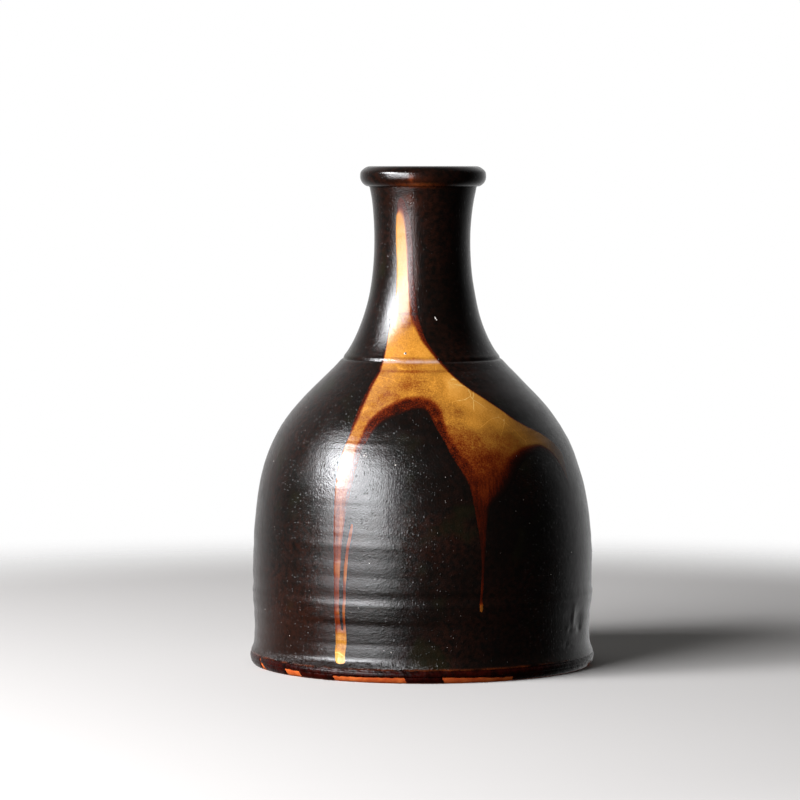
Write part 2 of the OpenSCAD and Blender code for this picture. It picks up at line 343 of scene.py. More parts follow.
lowest = min(wall_points, key=lambda p: p[1])
wall_chain = chained([p for p in wall_points if p is not lowest], lowest)
underside = min(bead_points, key=lambda p: p[1])
bead_chain = chained([p for p in bead_points if p is not underside], underside)
crest = max(inside_points, key=lambda p: p[1])
inside_chain = chained([p for p in inside_points if p is not crest], crest)
bore_i = int(np.argmax(inside_chain[:, 1] < crest_z - 6.9 * MM)) + 1

# The wall runs on up into the lip's bead, so the two meet in a notch
last_slope = wall_chain[-1] - wall_chain[-2]
top_of_wall = wall_chain[-1] + last_slope / last_slope[1] * (notch_z + 0.4 * MM - wall_chain[-1][1])
wall = Outline(np.vstack([wall_chain, top_of_wall]))
bead_start = underside + np.array([-0.55, 0.12]) * MM
lip = Outline(np.vstack([bead_start, bead_chain, inside_chain[:bore_i]]))
liner = Outline(inside_chain[bore_i - 1 :])
foot_top = lowest[1] + 1.2 * MM
foot_rings = [p for p in rings("base") if p[0] > 0.955 * foot_glaze_r and p[1] < foot_top]
foot_rings.sort(key=lambda p: p[1])
foot = Outline(np.array(foot_rings))

# ---- Relief ----


def gauss(x):
    return np.exp(-x * x)


def smooth_step(x):
    x = np.clip(x, 0, 1)
    return x * x * (3 - 2 * x)


def ripple(azimuth, z, seed, count, turns, lengths):
    """Seeded sum of waves that close round the pot, from about -1 to 1. Each has at most so
    many turns, and a wavelength up the wall between the two lengths, in metres."""
    draw = np.random.default_rng(seed)
    total = np.zeros(np.broadcast(azimuth, z).shape)
    for _ in range(count):
        crests = int(draw.integers(0, turns + 1))
        length = lengths[0] * (lengths[1] / lengths[0]) ** draw.random()
        phase = draw.random() * 2 * math.pi
        total += np.sin(crests * azimuth + 2 * math.pi * z / length + phase)
    return total / math.sqrt(count)


def relief(azimuth, z):
    """How far the outer surface stands out from its turned outline, in metres."""
    high = z / MM
    push = np.zeros(np.broadcast(azimuth, z).shape)
    for i, (height, width, depth, sway) in enumerate(RINGS):
        centre = height + sway * np.sin(azimuth + 1.7 * i) + 0.4 * sway * np.sin(3 * azimuth + i)
        fade = 0.7 + 0.3 * np.sin(2 * azimuth + 2.3 * i)
        push += depth * fade * gauss((high - centre) / width)
    seam = seam_z / MM
    for rise, width, depth in SEAM:
        push += depth * gauss((high - seam - rise) / width)
    for az, height, width, tall, depth in DENTS:
        across = (azimuth - math.radians(az)) * DENTED_R / width
        push += depth * gauss(np.hypot(across, (high - height) / tall))
    belly = smooth_step((seam - high) / 12)
    for seed, number, turns, short, long, depth, on_neck in WAVES:
        share = on_neck + (1 - on_neck) * belly
        push += depth * share * ripple(azimuth, z, seed, number, turns, (short * MM, long * MM))
    quiet = smooth_step((notch_z / MM + 0.5 - high) / 3)
    return push * quiet * MM


# The lean, eased between its heights
lean_heights = np.linspace(-20, 190, 841)
easing = gauss(np.linspace(-2.5, 2.5, 49))
lean_shifts = np.interp(lean_heights, *np.transpose(LEAN))
lean_shifts = np.convolve(lean_shifts, easing / easing.sum(), "same")


def lean(z):
    """How far the centre of the ring at height z lies from the axis, in metres."""
    return np.interp(z / MM, lean_heights, lean_shifts) * MM * smooth_step(z / (8 * MM))


# ---- Meshes ----


def on_surface(outline, s, azimuth, lift):
    """Points of the turned outline at distances s and azimuths, lifted along its normal."""
    place = outline.at(s) + outline.outward(s) * lift[..., None]
    across = place[..., 0] * np.sin(azimuth) + lean(place[..., 1])
    return np.stack([across, -place[..., 0] * np.cos(azimuth), place[..., 1]], axis=-1)


def mesh_object(name, points, faces):
    mesh = bpy.data.meshes.new(name)
    mesh.from_pydata(np.asarray(points).tolist(), [], faces)
    mesh.validate()
    mesh.update()
    mesh.shade_smooth()
    piece = bpy.data.objects.new(name, mesh)
    bpy.context.scene.collection.objects.link(piece)
    return piece


def set_attribute(piece, name, values):
    """A number at each vertex, for the materials to read."""
    layer = piece.data.attributes.new(name, "FLOAT", "POINT")
    layer.data.foreach_set("value", np.ascontiguousarray(values, dtype=np.float32).ravel())


def turned(name, grid, closed_section):
    """A mesh from rows of points round the pot. The rows form a closed section, or end on
    the axis at both ends."""
    rows, columns = grid.shape[:2]
    faces = []
    for i in range(rows if closed_section else rows - 1):
        low, high = i * columns, (i + 1) % rows * columns
        for j in range(columns):
            right = (j + 1) % columns
            faces.append((low + j, low + right, high + right, high + j))
    piece = mesh_object(name, grid.reshape(-1, 3), faces)
    if not closed_section:
        weld(piece)
    return piece


def weld(piece):
    """Joins the points that lie on the axis."""
    work = bmesh.new()
    work.from_mesh(piece.data)
    bmesh.ops.remove_doubles(work, verts=work.verts, dist=1e-7)
    work.to_mesh(piece.data)
    work.free()


def crowded(count, spots):
    """Fractions from 0 to 1, closer together at the spots: (fraction, width, extra weight)."""
    fine = np.linspace(0, 1, 4000)
    weight = np.ones_like(fine)
    for centre, width, extra in spots:
        weight += extra * gauss((fine - centre) / width)
    total = np.cumsum(weight)
    total = (total - total[0]) / (total[-1] - total[0])
    return np.interp(np.linspace(0, 1, count), total, fine)


def around(columns):
    """Azimuths of the columns of points round the pot."""
    return np.arange(columns) * 2 * math.pi / columns


def swept(radius, z, azimuth):
    """Rings of points of the given radii and heights about the axis."""
    across, back = radius * np.sin(azimuth), -radius * np.cos(azimuth)
    return np.stack(np.broadcast_arrays(across, back, z), axis=-1)


def coat(name, outline, s, azimuth, lift, back_rows, sunk, **marks):
    """A closed coat on the outline: its face lies at distances s, lifted, and its back runs
    plainly from the last row to the first, sunk below the outline. The marks are numbers at
    the face's points for the materials to read."""
    s_back = s[0] + (s[-1] - s[0]) * np.linspace(1, 0, back_rows)[:, None]
    face = on_surface(outline, s, azimuth, lift)
    back = on_surface(outline, s_back, azimuth, np.full(s_back.shape, -sunk))
    piece = turned(name, np.vstack([face, back]), True)
    for mark, values in marks.items():
        set_attribute(piece, mark, np.vstack([values, s_back * 0]))
    return piece


# ---- Glaze coats ----


def glaze_edge(azimuth):
    """Height of the dark glaze's lower edge above the CAD edge: it runs thick and uneven on
    the left, and even on the right."""
    left = gauss((np.degrees(azimuth) + 38) / 34)
    wave = 0.22 * np.sin(3 * azimuth + 0.6) + 0.12 * np.sin(7 * azimuth + 2.0)
    teeth = ripple(azimuth, azimuth * 0, 31, 14, 90, (1, 2))
    return (0.35 + 0.5 * wave + (0.04 + 0.16 * left) * teeth) * MM


def wrapped(azimuth):
    """The same azimuth between -pi and pi."""
    return (azimuth + math.pi) % (2 * math.pi) - math.pi


def outer_lift(azimuth, z):
    """The relief at any azimuth."""
    return relief(wrapped(azimuth), z)


def rust_at(azimuth, z):
    """How much rust shows through the thin dark glaze of the neck and lip, from 0 to 1."""
    degrees = np.degrees(wrapped(azimuth))
    total = np.zeros(np.broadcast(azimuth, z).shape)
    for az, height, wide, tall, amount in RUST_MARKS:
        total += amount * gauss((degrees - az) / wide) * gauss((z / MM - height) / tall)
    return np.clip(total, 0, 1)


def belly_coat():
    """The dark glaze from its rolled lower edge to the neck join."""
    azimuth = around(360)[None, :]
    degrees = np.degrees(wrapped(azimuth))
    start = np.maximum(glaze_edge(wrapped(azimuth)), 0)
    end = wall.s_at_height(seam_z)
    along = crowded(210, [(0, 0.03, 7), (0.2, 0.07, 0.9), (1, 0.03, 3)])[:, None]
    s = start + (end - start) * along
    z = wall.at(s)[..., 1]
    from_edge = (s - start) / MM
    rounding = np.sqrt(np.clip(1 - (1 - np.clip(from_edge / 0.5, 0, 1)) ** 2, 0, 1))
    left = gauss((degrees + 38) / 30)
    roll = (0.06 + 0.16 * left) * gauss((from_edge - 0.8) / 0.7)
    lumps = 0.16 * left * ripple(azimuth, z, 17, 16, 150, (0.9 * MM, 2.4 * MM))
    lumps = lumps * gauss((from_edge - 0.7) / 0.9)
    room = (foot_glaze_r - wall.at(s)[..., 0]) / MM
    lift = np.minimum(outer_lift(azimuth, z) / MM + np.minimum(roll + lumps, room), room) * MM
    lift = lift - glaze_thick * (1 - rounding)
    thin = 0.75 * gauss(from_edge / 0.42) * (0.55 + 0.45 * ripple(azimuth, z, 52, 8, 60, (1, 2)))
    # A faint red-brown tint low on the left, put in with the rust mark
    low_left = 0.04 * gauss((degrees + 62) / 26) * gauss((z / MM - 14) / 14)
    rust = np.clip(thin + low_left, 0, 1)
    # Along the thick edge on the left the material is lumpy too
    hem = left * gauss((from_edge - 1.0) / 1.3)
    return coat("belly_glaze", wall, s, azimuth, lift, 24, back_depth, rust=rust, hem=hem)


def neck_coat():
    """The dark glaze from the neck join up to the notch under the lip."""
    azimuth = around(256)[None, :]
    start = wall.s_at_height(seam_z)
    along = crowded(190, [(0, 0.03, 3)])[:, None]
    s = start + (wall.length - start) * along + azimuth * 0
    z = wall.at(s)[..., 1]
    lift = outer_lift(azimuth, z)
    rust = rust_at(azimuth, z)
    return coat("neck_glaze", wall, s, azimuth, lift, 20, back_depth, rust=rust)


def lip_coat():
    """The glaze over the rolled lip, from the notch below it to the top of the bore."""
    azimuth = around(256)[None, :]
    s = np.linspace(0, lip.length, 96)[:, None] + azimuth * 0
    z, outside = lip.at(s)[..., 1], lip.at(s)[..., 0] > bead_centre_r
    height, width, depth = BEAD_SHOULDER
    shoulder = depth * gauss((z / MM - height) / width) * outside
    wave = 0.03 * ripple(azimuth, s, 21, 8, 5, (8 * MM, 30 * MM))
    crest_quiet = smooth_step((crest_z - z) / (1.5 * MM))
    lift = (np.minimum(wave, 0.05) + shoulder) * crest_quiet * MM
    rust = rust_at(azimuth, z) * outside
    return coat("lip_glaze", lip, s, azimuth, lift, 30, back_depth, rust=rust)


def liner_coat():
    """The glaze inside, from the top of the bore to the middle of the floor."""
    azimuth = around(192)[None, :]
    s = np.linspace(0, liner.length, 150)[:, None] + azimuth * 0
    z = liner.at(s)[..., 1]
    calm = smooth_step((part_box("belly_wall")[1].z - z) / (20 * MM))
    lift = 0.14 * calm * ripple(azimuth, s, 12, 8, 1, (5 * MM, 12 * MM)) * MM
    lift *= smooth_step((liner.length - s) / (12 * MM))
    return coat("inside_glaze", liner, s, azimuth, lift, 40, back_depth)


# ---- The amber pour ----


def smooth_loop(points, spacing):
    """Points at even spacing along the smooth closed curve through the given points, where
    the first two values are azimuth in degrees and height in mm."""
    p = np.array(points, float)
    n = len(p)
    curve = []
    for i in range(n):
        a, b, c, d = (p[(i + k) % n] for k in (-1, 0, 1, 2))
        for t in np.linspace(0, 1, 24, endpoint=False):
            curve.append(
                0.5 * (2 * b + (c - a) * t + (2 * a - 5 * b + 4 * c - d) * t**2
                       + (3 * b - a - 3 * c + d) * t**3)
            )
    curve = np.array(curve)
    curve = np.vstack([curve, curve[:1]])
    steps = np.diff(spots_3d(curve[:, 0], curve[:, 1]), axis=0)
    s = np.concatenate([[0], np.cumsum(np.linalg.norm(steps, axis=1))])
    even = np.linspace(0, s[-1], int(s[-1] / spacing), endpoint=False)
    return np.stack([np.interp(even, s, column) for column in curve.T], axis=1)


def spots_3d(degrees, height_mm):
    """Places on the plain outer surface."""
    s = wall.s_at_height(np.asarray(height_mm) * MM)
    azimuth = np.radians(degrees)
    return on_surface(wall, s, azimuth, np.zeros(s.shape))


def inside_polygon(points, loop):
    """Whether each point lies inside a closed loop, counting crossings."""
    inside = np.zeros(len(points), bool)
    x, y = points.T
    for (x0, y0), (x1, y1) in zip(loop, np.roll(loop, -1, axis=0)):
        if y0 == y1:
            continue
        crosses = (y0 > y) != (y1 > y)
        inside ^= crosses & (x < (x1 - x0) * (y - y0) / (y1 - y0) + x0)
    return inside


def nearness(places, marks, values, power):
    """Values at places, averaged over the marks by nearness."""
    result = np.zeros((len(places), values.shape[1]))
    for first in range(0, len(places), 2000):
        part = places[first : first + 2000]
        gap = np.linalg.norm(part[:, None, :] - marks[None], axis=2) + 1e-5
        weight = gap**-power
        result[first : first + 2000] = weight @ values / weight.sum(1, keepdims=True)
    return result


def depth_finder(rim):
    """A function that gives how far in from the nearest point of the rim each place lies."""
    tree = kdtree.KDTree(len(rim))
    for i, place in enumerate(rim):
        tree.insert(place, i)
    tree.balance()
    return lambda places: np.array([tree.find(place)[2] for place in places])


def laid_flat(loop, depth_of):
    """The pour laid flat: azimuths and heights of points along the loop and on a staggered grid
    inside it, and the triangles between them."""
    across_scale = math.radians(1) * BELLY_R
    rim = loop[:, :2] * (across_scale, 1)
    low, high = rim.min(0), rim.max(0)
    across, up = np.meshgrid(
        np.arange(low[0], high[0], INNER_STEP), np.arange(low[1], high[1], INNER_STEP * 0.87)
    )
    across[1::2] += INNER_STEP / 2
    grid = np.c_[across.ravel(), up.ravel()]
    grid = grid[inside_polygon(grid, rim)]
    grid = grid[depth_of(spots_3d(grid[:, 0] / across_scale, grid[:, 1])) > 0.22 * MM]
    edges = [(i, (i + 1) % len(rim)) for i in range(len(rim))]
    points = [Vector(p) for p in np.vstack([rim, grid])]
    made = geometry.delaunay_2d_cdt(points, edges, [], 1, 1e-6)
    flat = np.array([tuple(v) for v in made[0]])
    return flat[:, 0] / across_scale, flat[:, 1], [tuple(f) for f in made[2]]


def gold_of(tone, depth, fringe, degrees):
    """How golden the pour is at a depth in from its rim. Small fringes start part-way up, so
    that sharp edges stay sharp, and wide ones have a shelf of rust, which fades on the right."""
    reach = (depth + np.maximum(0.35 * MM - 0.3 * fringe, 0)) / fringe
    shelf = np.minimum(tone, SHELF_GOLD)
    fading = smooth_step((degrees - 18) / 8)
    rust_rise = smooth_step(reach / (0.2 + 0.45 * fading))
    gold_rise = smooth_step((reach - 0.45) / 0.55)
    return shelf * rust_rise + (tone - shelf) * gold_rise


def pour_coat():
    """The amber glaze: a thin skin on the dark coat, cut to the outline of the run, with a
    rounded edge that dips below the dark coat's surface."""
    loop = smooth_loop(POUR, OUTLINE_STEP * MM)
    rim = spots_3d(loop[:, 0], loop[:, 1])
    depth_of = depth_finder(rim)
    degrees, height, faces = laid_flat(loop, depth_of)
    places = spots_3d(degrees, height)
    depth = depth_of(places)
    fringe = nearness(places, rim, loop[:, 2:3], 3)[:, 0] * MM
    marks = np.array(TONES)
    tone, mottle = nearness(places, spots_3d(marks[:, 0], marks[:, 1]), marks[:, 2:], 3.5).T
    gold = gold_of(tone, depth, fringe, degrees)
    runs_down = smooth_step((RUNS_TOP - height) / 12)
    thick = (SHEET_THICK + RUNS_THICK * runs_down) * MM * smooth_step((gold - 0.06) / 0.5)
    # The glaze thins over fine throwing lines and the upper lip of the neck join
    seam = seam_z / MM
    for line, loss in (*THIN_LINES, (seam + UPPER_LIP, 0.1)):
        gold -= loss * gauss((height - line) / 0.4)
    gold = np.maximum(gold, 0)
    azimuth = np.radians(degrees)
    s = wall.s_at_height(height * MM)
    dark_lift = outer_lift(azimuth, height * MM)
    film = FILM * MM * (1 - 4 * gauss(depth / (0.5 * MM)))
    rounding = smooth_step(depth / (0.8 * MM))
    top = on_surface(wall, s, azimuth, dark_lift + thick * rounding + film)
    under = on_surface(wall, s, azimuth, dark_lift - 0.2 * MM)
    count = len(top)
    walls = [(a, a + count, b + count, b) for a, b in border_edges(faces)]
    backs = [tuple(i + count for i in reversed(f)) for f in faces]
    piece = mesh_object("poured_amber", np.vstack([top, under]), faces + backs + walls)
    piece.data.set_sharp_from_angle(angle=math.radians(50))
    # Painted highlight: pale along the groove of the join, and a little painted sheen high on the left
    painted_groove_highlight = gauss((height - seam + 0.1) / 0.45)
    painted_left_sheen = 0.08 * smooth_step((-8 - degrees) / 14) * smooth_step((height - 75) / 15)
    pale = (painted_groove_highlight + painted_left_sheen) * smooth_step((gold - 0.2) / 0.4)
    for name, values in (("gold", gold), ("mottle", mottle), ("pale", pale)):
        set_attribute(piece, name, np.tile(values, 2))
    return piece


def border_edges(faces):
    """The directed edges that only one face has."""
    edges = {edge for face in faces for edge in zip(face, face[1:] + face[:1])}
    return [(a, b) for a, b in edges if (b, a) not in edges]


# ---- Grit ----


def grit_grains():
    """Low grains in the glaze: those listed, and a seeded scatter of tiny pale ones."""
    draw = np.random.default_rng(77)
    grains = list(GRIT)
    # The tiny pale grains are partly painted glints
    for _ in range(80):
        height = 8 + 92 * draw.random() ** 1.4
        grains.append((360 * draw.random() - 180, height, 0.14 + 0.16 * draw.random() ** 2, 0.8, 0))
    points, faces, pale = [], [], []
    sides = 8
    round_grain = np.linspace(0, 2 * math.pi, sides, endpoint=False)
    for az, height, size, tone, stand in grains:
        azimuth, half = np.array(math.radians(az)), size * MM / 2
        s = wall.s_at_height(np.array(height * MM))
        lift = outer_lift(azimuth, np.array(height * MM)) + stand * MM
        middle = on_surface(wall, s, azimuth, lift)
        up = on_surface(wall, s + MM, azimuth, lift) - middle
        out = on_surface(wall, s, azimuth, lift + MM) - middle
        up, out = up / np.linalg.norm(up), out / np.linalg.norm(out)
        side = np.cross(up, out)
        first = len(points)
        for ring_r, rise in ((1.0, -0.5), (0.95, 0.22), (0.55, 0.42)):
            for a in round_grain:
                flat = side * math.cos(a) + up * math.sin(a)
                points.append(middle + half * (ring_r * flat + rise * out))
        for low in (first, first + sides):
            for i in range(sides):
                j = (i + 1) % sides
                faces.append((low + i, low + j, low + sides + j, low + sides + i))
        faces.append(tuple(first + i for i in reversed(range(sides))))
        faces.append(tuple(first + 2 * sides + i for i in range(sides)))
        pale += [tone] * 3 * sides
    piece = mesh_object("grit", points, faces)
    set_attribute(piece, "pale", pale)
    return piece


# ---- Foot and base ----


def rubbed(azimuth, z):
    """From 0, where the slip covers the clay, to 1, where it's rubbed off."""
    degrees = np.degrees(azimuth) % 360
    rough = 0.28 * ripple(azimuth, z, 41, 12, 120, (0.8 * MM, 3 * MM))
    bare = np.zeros(np.broadcast(azimuth, z).shape)
    for start, end, high_start, high_end in RUBBED:
        middle = (start + end) / 2
        half = (end - start) / 2
        offset = (degrees - middle + 180) % 360 - 180
        slant = 0.5 * (z / MM - 1)
        inside = (half - np.abs(offset + slant)) / 0.6 + rough
        height = high_start + (high_end - high_start) * (offset / half + 1) / 2
        below = (height - z / MM) / 0.35 + rough
        bare = np.maximum(bare, smooth_step(np.minimum(inside, below) + 0.5))
    return bare


def slip_coat():
    """The iron slip on the foot, sunk below the clay's surface where it's rubbed off."""
    slip_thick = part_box("foot_slip")[1].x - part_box("base")[1].x
    azimuth = around(900)[None, :]
    start = foot.s_at_height(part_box("foot_slip")[0].z)
    s = np.linspace(start, foot.length, 26)[:, None] + azimuth * 0
    z = foot.at(s)[..., 1]
    bare = rubbed(azimuth, z)
    texture = 0.03 * ripple(azimuth, z, 43, 14, 200, (0.7 * MM, 2 * MM))
    lift = slip_thick * (0.92 - 1.5 * bare) + np.minimum(texture, 0.02) * MM
    lift = np.minimum(lift, foot_slip_r - foot.at(s)[..., 0])
    lift[0] = -0.1 * MM
    return coat("foot_slip_skin", foot, s, azimuth, lift, 5, 0.3 * MM)


def base_clay():
    """The clay of the base as it shows: the foot's edge, and the underside with its hollow
    and the fine rings left by turning."""
    azimuth = around(256)[None, :]
    rest_r = foot_rings[0][0]
    hollow = [p for p in rings("base") if p[1] < 0.9 * MM and p[0] < rest_r - MM]
    rim_r, ring_r = min(p[0] for p in hollow), max(p[0] for p in hollow)
    depth = max(p[1] for p in hollow)
    radius = np.concatenate([np.linspace(0, rim_r, 90), np.linspace(rim_r, ring_r, 7)[1:],
                             np.linspace(ring_r, rest_r, 16)[1:-1]])
    z = np.interp(radius, [0, rim_r, ring_r, rest_r], [depth, depth, 0, 0])
    grooves = 0.07 * np.sin(radius / MM * 2 * math.pi / 2.3) + 0.05 * np.sin(radius / MM * 3.1 + 1)
    z = z + np.maximum(grooves, -z / MM * 0.5) * smooth_step((rim_r - radius) / (2 * MM)) * MM
    under = swept(radius[:, None], np.maximum(z, 0)[:, None], azimuth)
    s = np.linspace(0, foot.length, 30)[:, None] + azimuth * 0
    side = on_surface(foot, s, azimuth, np.minimum(foot_clay_r - foot.at(s)[..., 0], 0))
    top_r, top_z = foot_rings[-1]
    top = swept(np.linspace(top_r, 0, 12)[1:, None], top_z, azimuth)
    return turned("base_clay", np.vstack([under, side, top]), False)


# ---- Materials: sizes of grains and specks and depths of bumps are in millimetres ----


def new_material(name):
    """A node material; returns it, its tree and its shader."""
    made = bpy.data.materials.new(name)
    made.use_nodes = True
    return made, made.node_tree, made.node_tree.nodes["Principled BSDF"]


def add(tree, kind, **values):
    """A node with its properties or input values set."""
    made = tree.nodes.new(kind)
    for key, value in values.items():
        if hasattr(made, key):
            setattr(made, key, value)
        else:
            made.inputs[key.replace("_", " ")].default_value = value
    return made


def join(tree, source, target):
    tree.links.new(source, target)


def coordinates(tree):
    return add(tree, "ShaderNodeTexCoord").outputs["Object"]


def grain(tree, size_mm, detail=2.0, rough=0.5, where=None):
    """Noise whose features are about size_mm across."""
    noise = add(tree, "ShaderNodeTexNoise", Scale=1 / (size_mm * MM), Detail=detail, Roughness=rough)
    join(tree, where or coordinates(tree), noise.inputs["Vector"])
    return noise.outputs["Fac"]


def ramp(tree, value, stops):
    """Colours at positions along a value."""
    made = add(tree, "ShaderNodeValToRGB")
    bar = made.color_ramp
    while len(bar.elements) < len(stops):
        bar.elements.new(0.5)
    for element, (position, colour) in zip(bar.elements, stops):
        element.position = position
        element.color = (*colour, 1)
    join(tree, value, made.inputs["Fac"])
    return made.outputs["Color"]


def spread(tree, value, low, high, to_low=0.0, to_high=1.0):
    """The value's range low to high mapped smoothly to another."""
    made = add(tree, "ShaderNodeMapRange", interpolation_type="SMOOTHSTEP")
    for key, number in (("From Min", low), ("From Max", high), ("To Min", to_low), ("To Max", to_high)):
        made.inputs[key].default_value = number
    join(tree, value, made.inputs["Value"])
    return made.outputs["Result"]


def sum_of(tree, first, second, operation="ADD"):
    """The sum of two values, or what another operation makes of them."""
    made = add(tree, "ShaderNodeMath", operation=operation)
    for socket, source in zip(made.inputs, (first, second)):
        if isinstance(source, (int, float)):
            socket.default_value = source
        else:
            join(tree, source, socket)
    return made.outputs[0]


def product(tree, first, second):
    return sum_of(tree, first, second, "MULTIPLY")


def blend_colour(tree, factor, below, above):
    """One colour over another, by a factor from 0 to 1."""
    made = add(tree, "ShaderNodeMix", data_type="RGBA")
    join(tree, factor, made.inputs["Factor"])
    for key, source in (("A", below), ("B", above)):
        socket = [i for i in made.inputs if i.name == key and i.type == "RGBA"][0]
        if isinstance(source, tuple):
            socket.default_value = (*source, 1)
        else:
            join(tree, source, socket)
    return [o for o in made.outputs if o.type == "RGBA"][0]


def marked(tree, name):
    """The numbers that a piece carries under this name."""
    return add(tree, "ShaderNodeAttribute", attribute_name=name).outputs["Fac"]


def paint(tree, shader, colour, roughness):
    join(tree, colour, shader.inputs["Base Color"])
    join(tree, roughness, shader.inputs["Roughness"])


def bumped(tree, shader, layers):
    """Bump from layers of (height, depth in mm), one on another."""
    normal = None
    for height, depth in layers:
        made = add(tree, "ShaderNodeBump", Distance=depth * MM)
        join(tree, height, made.inputs["Height"])
        if normal is not None:
            join(tree, normal, made.inputs["Normal"])
        normal = made.outputs["Normal"]
    join(tree, normal, shader.inputs["Normal"])


def stretched(tree, up):
    """Coordinates that change only so fast up the pot, for streaks that run down it."""
    scale = add(tree, "ShaderNodeMapping")
    scale.inputs["Scale"].default_value = (1, 1, up)
    join(tree, coordinates(tree), scale.inputs["Vector"])
    return scale.outputs["Vector"]


def specks(tree, cell_mm, size_mm, share=1.0):
    """Up to 1 in small round specks, one in a share of the cells and fainter in some."""
    cells = add(tree, "ShaderNodeTexVoronoi", Scale=1 / (cell_mm * MM))
    join(tree, coordinates(tree), cells.inputs["Vector"])
    ratio = size_mm / cell_mm
    spot = spread(tree, cells.outputs["Distance"], ratio * 0.3, ratio, 1.0, 0.0)
    draw = add(tree, "ShaderNodeSeparateColor")
    join(tree, cells.outputs["Color"], draw.inputs[0])
    return product(tree, spot, spread(tree, draw.outputs[0], 1 - share, 1.0))


def crackle(tree):
    """1 on a few thin, long, bent cracks, else 0."""
    bend = add(tree, "ShaderNodeTexNoise", Scale=1 / (9 * MM), Detail=1.0)
    join(tree, coordinates(tree), bend.inputs["Vector"])
    bent = add(tree, "ShaderNodeVectorMath", operation="MULTIPLY_ADD")
    join(tree, bend.outputs["Color"], bent.inputs[0])
    bent.inputs[1].default_value = (5 * MM, 5 * MM, 5 * MM)
    join(tree, coordinates(tree), bent.inputs[2])
    cells = add(tree, "ShaderNodeTexVoronoi", feature="DISTANCE_TO_EDGE", Scale=1 / (9 * MM))
    join(tree, bent.outputs[0], cells.inputs["Vector"])
    line = spread(tree, cells.outputs["Distance"], 0.006, 0.022, 1.0, 0.0)
    return product(tree, line, spread(tree, grain(tree, 7, 1), 0.38, 0.54))


GLAZE_IOR = 1.55
GLAZE_DARK = (0.0032, 0.0024, 0.0019)
GLAZE_WARM = (0.0150, 0.0050, 0.0030)
GLAZE_OLIVE = (0.0085, 0.0075, 0.0030)
THIN_RUST = (0.26, 0.050, 0.012)
# Pale specks: partly real specks, partly painted glints
PALE_SPECK_AND_GLINT = (0.24, 0.21, 0.19)


def dark_glaze_material(name, smoothest, roughest, bump_scale, speckled):
    """Black glaze with red-brown and olive clouds, pale specks in a share of its skin's cells,
    which are partly painted glints, and a skin of fine blisters and pits that glint."""
    made, tree, shader = new_material(name)
    broad = spread(tree, grain(tree, 30, 2, 0.6), 0.35, 0.7)
    fine = spread(tree, grain(tree, 1.6, 3, 0.6), 0.3, 0.75)
    warm = product(tree, sum_of(tree, broad, 0.25), fine)
    colour = blend_colour(tree, warm, GLAZE_DARK, GLAZE_WARM)
    olive = spread(tree, grain(tree, 17, 2, 0.6), 0.58, 0.72, 0.0, 0.7)
    colour = blend_colour(tree, olive, colour, GLAZE_OLIVE)
    patchy = spread(tree, grain(tree, 1.1, 3, 0.6), 0.3, 0.6, 0.45, 1.0)
    colour = blend_colour(tree, product(tree, marked(tree, "rust"), patchy), colour, THIN_RUST)
    # Pale specks, partly painted glints
    colour = blend_colour(tree, specks(tree, 2.6, 0.20, speckled), colour, PALE_SPECK_AND_GLINT)
    paint(tree, shader, colour, spread(tree, grain(tree, 7, 3, 0.6), 0.3, 0.7, smoothest, roughest))
    shader.inputs["IOR"].default_value = GLAZE_IOR
    blisters = specks(tree, 0.9, 0.38, 0.4)
    pits = sum_of(tree, 1.0, specks(tree, 1.7, 0.36, 0.7), "SUBTRACT")
    lumps = product(tree, grain(tree, 0.9, 3, 0.6), marked(tree, "hem"))
    layers = [(grain(tree, 0.5, 2, 0.6), 0.085), (grain(tree, 1.4, 2), 0.04),
              (grain(tree, 4.5, 2), 0.07), (blisters, 0.08), (pits, 0.04), (lumps, 1.8)]
    bumped(tree, shader, [(height, depth * bump_scale) for height, depth in layers])
    return made


# The pour's colours, by how golden it is, and the pale colour of its painted highlight
AMBER_STOPS = [
    (0.00, GLAZE_DARK),
    (0.10, (0.013, 0.0030, 0.0016)),
    (0.22, (0.056, 0.0058, 0.0015)),
    (0.36, (0.130, 0.0185, 0.0028)),
    (0.50, (0.225, 0.060, 0.008)),
    (0.64, (0.330, 0.130, 0.017)),
    (0.78, (0.500, 0.205, 0.025)),
    (0.90, (0.650, 0.285, 0.045)),
    (1.00, (0.750, 0.460, 0.130)),
]
PAINTED_HIGHLIGHT = (0.50, 0.33, 0.27)


